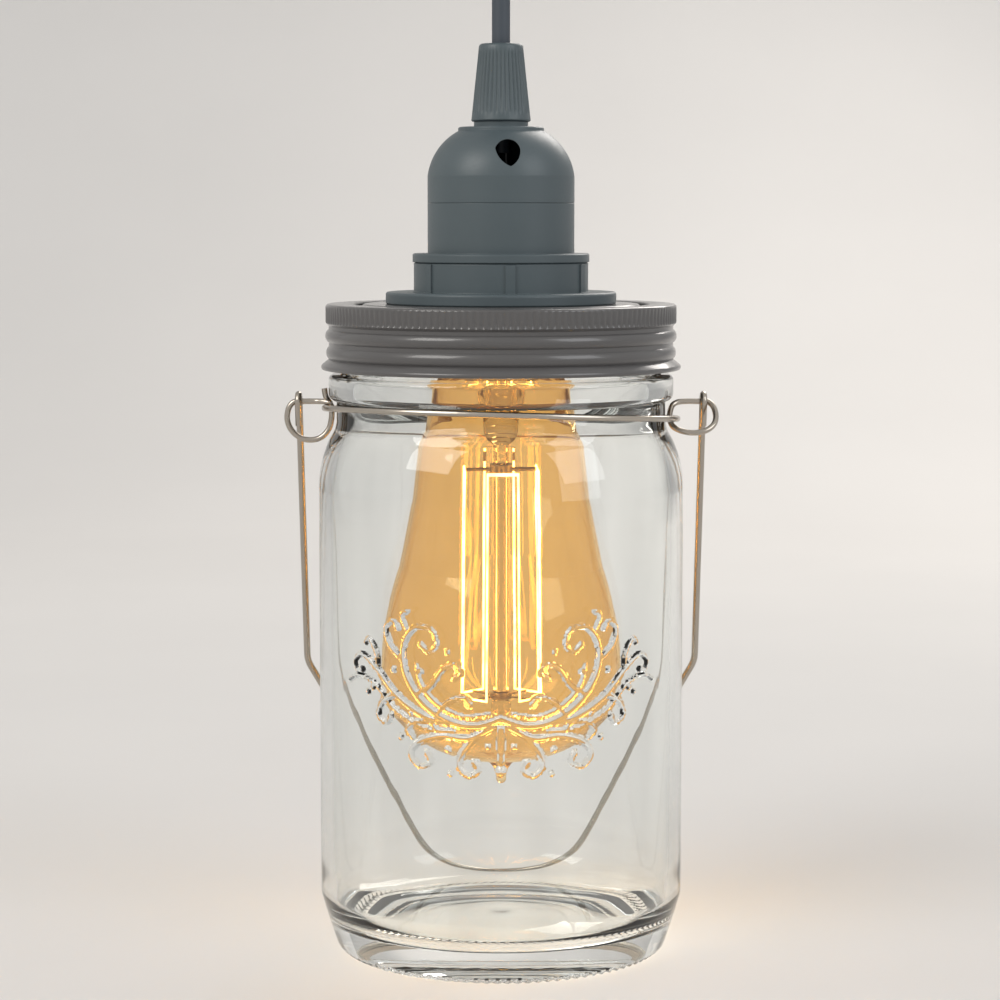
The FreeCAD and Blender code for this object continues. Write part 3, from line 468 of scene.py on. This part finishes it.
def jar_outline():
    def shoulder(r, inwards, up):
        return r - (JAR_R - NECK_R) * inwards, SHOULDER_H + (NECK_H - SHOULDER_H) * up

    line = PUSH_UP[:1] + arc(*PUSH_UP, 16)
    line += [(r, 0) for r in FOOT_ROWS]
    line += arc((FOOT_ROWS[-1], 0), FOOT_BEND, FOOT_EDGE, 6)
    line += arc(FOOT_EDGE, HEEL_MID, (JAR_R, HEEL_H), 10)
    line += [(JAR_R, z) for z in rows(HEEL_H, SCROLL_LOW, WALL_STEP)[1:]]
    line += [(JAR_R, z) for z in rows(SCROLL_LOW, SCROLL_TOP, SCROLL_STEP)[1:]]
    line += [(JAR_R, z) for z in rows(SCROLL_TOP, SHOULDER_H, WALL_STEP)[1:]]
    round_over, bend, hollow = (shoulder(JAR_R, *shares) for shares in SHOULDER_SHARES)
    line += arc((JAR_R, SHOULDER_H), round_over, bend, 10)
    line += arc(bend, hollow, (NECK_R, NECK_H), 8)
    line += [(NECK_R, NECK_ROW), (NECK_R, BEAD_H)]
    line += quarter((NECK_R, BEAD_H), (BEAD_R, BEAD_H), (BEAD_R, BEAD_H + BEAD_R - NECK_R), 6)
    line += [(BEAD_R, BEAD_ROW), (BEAD_R, BEAD_TOP - BEAD_ROUND)]
    line += quarter((BEAD_R, BEAD_TOP - BEAD_ROUND), (BEAD_R, BEAD_TOP), (BEAD_R - BEAD_ROUND, BEAD_TOP), 6)
    line += [(FINISH_FOOT_R, BEAD_TOP), (FINISH_R, FINISH_LOW)]
    line += [(FINISH_R, z) for z in rows(FINISH_LOW, RIM_H - RIM_ROUND, FINISH_STEP)[1:]]
    line += quarter((FINISH_R, RIM_H - RIM_ROUND), (FINISH_R, RIM_H), (FINISH_R - RIM_ROUND, RIM_H), 5)
    line += [(MOUTH_R + MOUTH_ROUND, RIM_H)]
    line += quarter((MOUTH_R + MOUTH_ROUND, RIM_H), (MOUTH_R, RIM_H), (MOUTH_R, RIM_H - MOUTH_ROUND), 5)
    line += [(MOUTH_R, MOUTH_ROW), (MOUTH_R, BEAD_H)]
    inside_neck = (NECK_R - WALL, NECK_H - INSIDE_DROP)
    inside_wall = (INSIDE_R, SHOULDER_H - INSIDE_DROP)
    line += [inside_neck] + arc(inside_neck, shoulder(INSIDE_R, *INSIDE_SHARES), inside_wall, 12)
    line += [(INSIDE_R, z) for z in rows(INSIDE_HEEL[0][1], inside_wall[1], INSIDE_STEP)[-2::-1]]
    line += arc(*INSIDE_HEEL, 10)
    return line + INSIDE_FLOOR


# Angles of the jar's rows: close together only where the front's scrolls or the foot's ticks need it

front = rows(-SCROLL_ARC, SCROLL_ARC, SCROLL_STEP / JAR_R)
back = rows(SCROLL_ARC, TURN - SCROLL_ARC, BACK_STEP)
FOOT_ANGLES = front + back[1:-1]
SCROLL_ANGLES = front + back[2:-1:2]
PLAIN_ANGLES = front[::3] + back[1:-1]


def jar_angles(r, z):
    if r >= FOOT_ROWS[0] and z <= FOOT_EDGE[1]:
        return FOOT_ANGLES
    if r == JAR_R and SCROLL_LOW <= z <= SCROLL_TOP:
        return SCROLL_ANGLES
    return PLAIN_ANGLES


def tick(r, angle):
    # from 0 to 1 and back across each of the slanting ticks round the foot
    slanted = angle + TICK_SLANT * (r - FOOT_ROWS[0])
    return 0.5 - 0.5 * math.cos(FOOT_TICKS * slanted)


def jar_reach(r, z, angle):
    off = (angle + math.pi) % TURN - math.pi
    if r == JAR_R and SCROLL_LOW < z < SCROLL_TOP and abs(off) < SCROLL_ARC:
        return r + scroll_height(off * JAR_R, z - SCROLL_LOW)
    if r == FINISH_R and THREAD_LOW < z < THREAD_TOP:
        return r + thread_height(z, angle)
    if r > FOOT_ROWS[-1] and z < TICK_TOP:
        return r - TICK_DEEP * tick(r, angle)
    return r


def jar_lift(r, z, angle):
    if FOOT_ROWS[0] < r and z < TICK_TOP:
        return TICK_DEEP * tick(r, angle)
    return 0.0


jar = turned("jar_shell", jar_outline(), jar_angles, jar_reach, JAR_GLASS, "jar",
             closed=False, lift=jar_lift)
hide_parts("glass_jar")

# The screw band, with its knurled edge

BAND_LOW, BAND_TOP = heights("lid_band")
BAND_R, BAND_HOLE_R, SHEET, GROOVE, LIP = 45.5, 38.5, 0.5, 0.8, 1.2
BAND_FLAT_R, TOP_BEND = 42.0, 0.8
UPPER_SWELL_R, LOWER_SWELL_R, SWELL_WALL = 45.6, 45.4, 0.6
KNURLS, KNURL_COLUMNS = 158, 6
KNURL_DEEP, KNURL_FADE, KNURL_LEAST, KNURL_SKIN = 0.42, 0.6, 0.25, 0.3
KNURL_ROOM, KNURL_IN = 0.4, 0.1

# Heights below the band's top
KNURL_TOP, KNURL_LOW, KNURL_END, GROOVE_START = 0.6, 4.6, 4.9, 5.6
KNURL_ROWS = (3.9, 4.5)
UPPER_SWELL, LOWER_SWELL = (6.5, 8.2, 9.9), (10.9, 12.6, 14.2)
UPPER_SWELL_IN, LOWER_SWELL_IN = (10.0, 8.2, 6.4), (14.4, 12.6, 10.8)
GROOVE_END_IN = 5.8

# The hole's edge, as (outwards, below the top), and the lip, as (inwards, above the band's lower edge)
HOLE_EDGE = [(0, SHEET), (0.1, 0.1), (0.3, 0)]
LIP_CURL, LIP_INSIDE = [(0.3, 1.3), (0, 0.7), (0.2, 0.1)], [(0.7, 0), (1.0, 0.9)]


def band_outline():
    top = BAND_TOP
    groove_r = BAND_R - GROOVE
    inner_r = groove_r - SHEET
    skirt_r = BAND_R - SHEET - KNURL_ROOM

    def swell(side_r, middle_r, below, count):
        start, middle, end = (top - z for z in below)
        return [(side_r, start)] + arc((side_r, start), (middle_r, middle), (side_r, end), count)

    def lip(spots):
        return [(BAND_R + LIP - inwards, BAND_LOW + up) for inwards, up in spots]

    line = [(BAND_HOLE_R + out, top - below) for out, below in HOLE_EDGE]
    line += [(BAND_FLAT_R, top), (BAND_R - TOP_BEND, top)]
    line += quarter((BAND_R - TOP_BEND, top), (BAND_R, top), (BAND_R, top - TOP_BEND), 4)
    line += [(BAND_R, top - below) for below in KNURL_ROWS]
    line += [(BAND_R - KNURL_IN, top - KNURL_END), (groove_r, top - GROOVE_START)]
    line += swell(groove_r, UPPER_SWELL_R, UPPER_SWELL, 9)
    line += swell(groove_r, LOWER_SWELL_R, LOWER_SWELL, 9)
    line += lip(LIP_CURL[:1]) + arc(*lip(LIP_CURL), 5) + lip(LIP_INSIDE)
    line += swell(inner_r, LOWER_SWELL_R - SWELL_WALL, LOWER_SWELL_IN, 8)
    line += swell(inner_r, UPPER_SWELL_R - SWELL_WALL, UPPER_SWELL_IN, 8)
    line += [(inner_r, top - GROOVE_END_IN), (skirt_r, top - KNURL_END), (skirt_r, top - SHEET)]
    return line


def band_reach(r, z, angle):
    below = BAND_TOP - z
    if r > BAND_R - KNURL_SKIN and KNURL_TOP < below < KNURL_LOW:
        fade = min(1.0, max(KNURL_LEAST, (below - KNURL_TOP) / KNURL_FADE))
        return r - KNURL_DEEP * fade * (0.5 - 0.5 * math.cos(angle * KNURLS))
    return r


band = turned("screw_band", band_outline(), even(KNURLS * KNURL_COLUMNS), band_reach, LID,
              "band")
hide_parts("lid_band")

# The cord grip, with its fine ribs

GRIP_LOW, GRIP_TOP = heights("cord_grip")
GRIP_LOW_R = half_width("cord_grip")
GRIP_TOP_R, GRIP_BORE_R, COLLET_R = 5.7, 2.6, 5.2
COLLET_TALL, COLLET_CONE = 9.6, 1.0
GRIP_CHAMFER = 0.3
GRIP_RIBS, RIB_COLUMNS = 36, 8
RIB_DEEP = 0.34
RIB_FROM, RIB_TO, RIB_FADE_LOW, RIB_FADE_TOP = 0.09, 0.9, 0.04, 0.03
GRIP_SHARES = (0.06, 0.10, 0.14, 0.4, 0.7, 0.90, 0.94)

# The top edge, as (inwards, below the top)
GRIP_EDGE = [(0, 0.6), (0.25, 0.2), (0.6, 0)]


def grip_outline():
    line = [(COLLET_R, GRIP_LOW), (GRIP_LOW_R - GRIP_CHAMFER, GRIP_LOW)]
    line += [(GRIP_LOW_R, GRIP_LOW + GRIP_CHAMFER)]
    tall = GRIP_TOP - GRIP_LOW - GRIP_EDGE[0][1]
    for share in GRIP_SHARES:
        line.append((GRIP_LOW_R + (GRIP_TOP_R - GRIP_LOW_R) * share, GRIP_LOW + tall * share))
    line += [(GRIP_TOP_R - inwards, GRIP_TOP - below) for inwards, below in GRIP_EDGE]
    collet_top = GRIP_LOW + COLLET_TALL
    line += [(GRIP_BORE_R, GRIP_TOP), (GRIP_BORE_R, collet_top + COLLET_CONE), (COLLET_R, collet_top)]
    return line


def grip_reach(r, z, angle):
    share = (z - GRIP_LOW) / (GRIP_TOP - GRIP_LOW)
    if r > GRIP_TOP_R and RIB_FROM < share < RIB_TO:
        fade = min(1.0, (share - RIB_FROM) / RIB_FADE_LOW, (RIB_TO - share) / RIB_FADE_TOP)
        groove = abs(math.sin(angle * GRIP_RIBS / 2))
        return r - RIB_DEEP * max(0.0, fade) * (1 - groove)
    return r


grip = turned("grip_ribbed", grip_outline(), even(GRIP_RIBS * RIB_COLUMNS), grip_reach, PLASTIC,
              "lamp")
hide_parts("cord_grip")

# The ear rings, as (outwards, forwards, below the top wire) in mm: on the left a wire whose tip stands up
# beside the bead and whose end hooks round it, on the right a closed ring that leans forwards

EAR_R = 0.75
EAR_TOP = heights("ear_ring_left")[1] - EAR_R
LEFT_EAR = [
    (46.0, 0, -3.4), (45.6, 0, -1.2), (44.4, 0, 0.8), (44.1, 0, 2.4), (44.2, 0, 4.6), (44.9, 0, 7.2),
    (46.9, 0, 9.4), (49.8, 0, 10.1), (52.7, 0, 9.3), (54.8, 0, 7.3), (55.7, 0, 4.8), (55.5, 0, 2.4),
    (54.7, 0, 0.8), (53.4, 0, 0), (51.0, 0, 0), (48.2, 0, 0), (46.2, 1.0, 0), (45.0, 1.6, 0.2),
    (44.0, 1.75, 0.5),
]
RIGHT_EAR = [
    (43.8, 0, 4.4), (43.8, 0, 6.8), (44.7, 0, 8.9), (47.0, 0, 10.3), (49.9, 0, 10.8), (52.8, 0, 10.1),
    (54.9, 0, 8.2), (55.7, 0, 5.6), (55.5, 0, 2.8), (54.7, 0, 0.9), (53.4, 0, 0), (51.0, 0, 0),
    (48.2, 0, 0), (46.0, 0, 0.3), (44.5, 0, 1.6),
]
RIGHT_LEAN = math.radians(45)
EARS = (("left", -1, LEFT_EAR, 0.0, False), ("right", 1, RIGHT_EAR, RIGHT_LEAN, True))
for side, sign, ring_line, lean, closed in EARS:
    path = [(sign * out, -ahead - below * math.sin(lean), EAR_TOP - below * math.cos(lean))
            for out, ahead, below in ring_line]
    ear = wire("ear_wire_" + side, path, EAR_R, STEEL, "jar", closed)
    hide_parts("ear_ring_" + side)

# The bulb's screw base

BASE_LOW, BASE_TOP = heights("bulb_base")
BASE_R = half_width("bulb_base")
BASE_WALL, BASE_CONE, BASE_PITCH, BASE_THREAD = 0.5, 2.0, 3.62, 0.8
BASE_STEP, BASE_FADE, BASE_COLUMNS = 0.3, 1.5, 96
CONE_OUT, CONE_IN = 2.6, 3.2


def base_outline():
    up = rows(BASE_LOW, BASE_TOP - BASE_CONE, BASE_STEP)
    line = [(BASE_R, z) for z in up]
    line += [(BASE_R - CONE_OUT, BASE_TOP), (BASE_R - CONE_IN, BASE_TOP)]
    line += [(BASE_R - BASE_WALL, z) for z in reversed(up)]
    return line


def base_reach(r, z, angle):
    start, end = BASE_LOW + BASE_FADE, BASE_TOP - BASE_CONE
    fade = max(0.0, min(1.0, (z - start) / BASE_FADE, (end - z) / BASE_FADE))
    wave = 0.5 - 0.5 * math.cos(TURN * (z - BASE_LOW) / BASE_PITCH - angle)
    return r - BASE_THREAD * fade * wave


base = turned("bulb_screw_base", base_outline(), even(BASE_COLUMNS), base_reach,
              MATERIAL_OF[SLOT_OF["bulb_base"]], "bulb")
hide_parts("bulb_base")

# The cord, held taut from above

CORD_R = 2.35 * MM
CORD_SHARES = (0, 0.35, 0.7, 1)
cord_low, cord_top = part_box("supply_cord")[0][2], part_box("supply_cord")[1][2]
cord_curve = bpy.data.curves.new("cord_line", "CURVE")
cord_curve.dimensions = "3D"
cord_curve.bevel_depth = CORD_R
cord_curve.bevel_resolution = 8
cord_curve.use_fill_caps = True
spline = cord_curve.splines.new("NURBS")
stops = [cord_low + share * (cord_top - cord_low) for share in CORD_SHARES]
spline.points.add(len(stops) - 1)
for point, z in zip(spline.points, stops):
    point.co = (0, 0, z, 1)
spline.order_u = 3
spline.use_endpoint_u = True
spline.use_smooth = True
cord = bpy.data.objects.new("cord_sleeve", cord_curve)
bpy.context.collection.objects.link(cord)
cord_curve.materials.append(CORD)
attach(cord, "lamp")
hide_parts("supply_cord")

# The stage: a pale floor that curves up into a backdrop, soft light and the camera

FLOOR_HALF, FLOOR_FRONT, BACK_Y, BACK_TOP, SWEEP, SWEEP_STEPS = 1.9, -2.2, 1.6, 3.0, 0.7, 12
mesh = bpy.data.meshes.new("floor")
line = [(FLOOR_FRONT, 0.0), (BACK_Y - SWEEP, 0.0)]
for k in range(1, SWEEP_STEPS + 1):
    turn = math.pi / 2 * k / SWEEP_STEPS
    line.append((BACK_Y - SWEEP + SWEEP * math.sin(turn), SWEEP - SWEEP * math.cos(turn)))
line.append((BACK_Y, BACK_TOP))
corners = [(x, y, z) for y, z in line for x in (-FLOOR_HALF, FLOOR_HALF)]
mesh.from_pydata(corners, [], [(2 * k, 2 * k + 1, 2 * k + 3, 2 * k + 2) for k in range(len(line) - 1)])
mesh.polygons.foreach_set("use_smooth", [True] * len(mesh.polygons))
floor = bpy.data.objects.new("floor", mesh)
bpy.context.collection.objects.link(floor)
mesh.materials.append(surface("floor_paper", (0.86, 0.85, 0.835), rough=0.8, spread=0.02, grain=300.0,
                              cloud=4.0, bump=0.0, shine=0.0))

SOFT_COLOR, SOFT_STRENGTH = (0.80, 0.82, 0.86, 1), 0.55
PALE_COLOR, PALE_STRENGTH = (0.70, 0.69, 0.67, 1), 1.0
world = bpy.data.worlds.new("studio")
bpy.context.scene.world = world
world.use_nodes = True
sky = world.node_tree
sky.nodes.clear()
soft = sky.nodes.new("ShaderNodeBackground")
soft.inputs["Color"].default_value = SOFT_COLOR
soft.inputs["Strength"].default_value = SOFT_STRENGTH
pale = sky.nodes.new("ShaderNodeBackground")
pale.inputs["Color"].default_value = PALE_COLOR
pale.inputs["Strength"].default_value = PALE_STRENGTH
ray = sky.nodes.new("ShaderNodeLightPath")
shown = ray.outputs["Is Camera Ray"]
for kind in ("Is Glossy Ray", "Is Transmission Ray"):
    either = sky.nodes.new("ShaderNodeMath")
    either.operation = "MAXIMUM"
    link(sky, shown, either.inputs[0])
    link(sky, ray.outputs[kind], either.inputs[1])
    shown = either.outputs["Value"]
choice = sky.nodes.new("ShaderNodeMixShader")
link(sky, shown, choice.inputs["Fac"])
link(sky, soft.outputs["Background"], choice.inputs[1])
link(sky, pale.outputs["Background"], choice.inputs[2])
link(sky, choice.outputs["Shader"], sky.nodes.new("ShaderNodeOutputWorld").inputs["Surface"])

MIDDLE = Vector((0, 0, 0.12))


def area_light(name, place, wide, tall, power, color):
    # a lamp that faces the middle of the part
    lamp = bpy.data.lights.new(name, "AREA")
    lamp.shape = "RECTANGLE"
    lamp.size = wide
    lamp.size_y = tall
    lamp.energy = power
    lamp.color = color
    thing = bpy.data.objects.new(name, lamp)
    thing.location = place
    thing.rotation_euler = (MIDDLE - Vector(place)).to_track_quat("-Z", "Y").to_euler()
    bpy.context.collection.objects.link(thing)


area_light("key", place=(-1.3, -1.1, 1.4), wide=1.1, tall=1.1, power=19, color=(1.0, 0.97, 0.93))
area_light("fill", place=(1.4, -1.0, 1.1), wide=1.0, tall=1.2, power=10, color=(0.95, 0.97, 1.0))
area_light("rim", place=(0.5, 1.1, 1.0), wide=0.6, tall=0.8, power=9, color=(1.0, 0.95, 0.9))

CAMERA_FAR, CAMERA_UP = 0.729, 0.1922
FOCAL_PIXELS, PICTURE = 2803.0, 1000.0
CAMERA_TILT = 0.1015
AXIS_COLUMN = 501.0
SENSOR = 36.0
camera_data = bpy.data.cameras.new("camera")
camera_data.sensor_width = SENSOR
camera_data.lens = FOCAL_PIXELS / PICTURE * SENSOR
camera = bpy.data.objects.new("camera", camera_data)
camera.location = (0, -CAMERA_FAR, CAMERA_UP)
pan = math.atan2(AXIS_COLUMN - PICTURE / 2, FOCAL_PIXELS)
camera.rotation_euler = (math.pi / 2 - CAMERA_TILT, 0, pan)
bpy.context.collection.objects.link(camera)
bpy.context.scene.camera = camera
bpy.context.scene.view_settings.view_transform = "Standard"
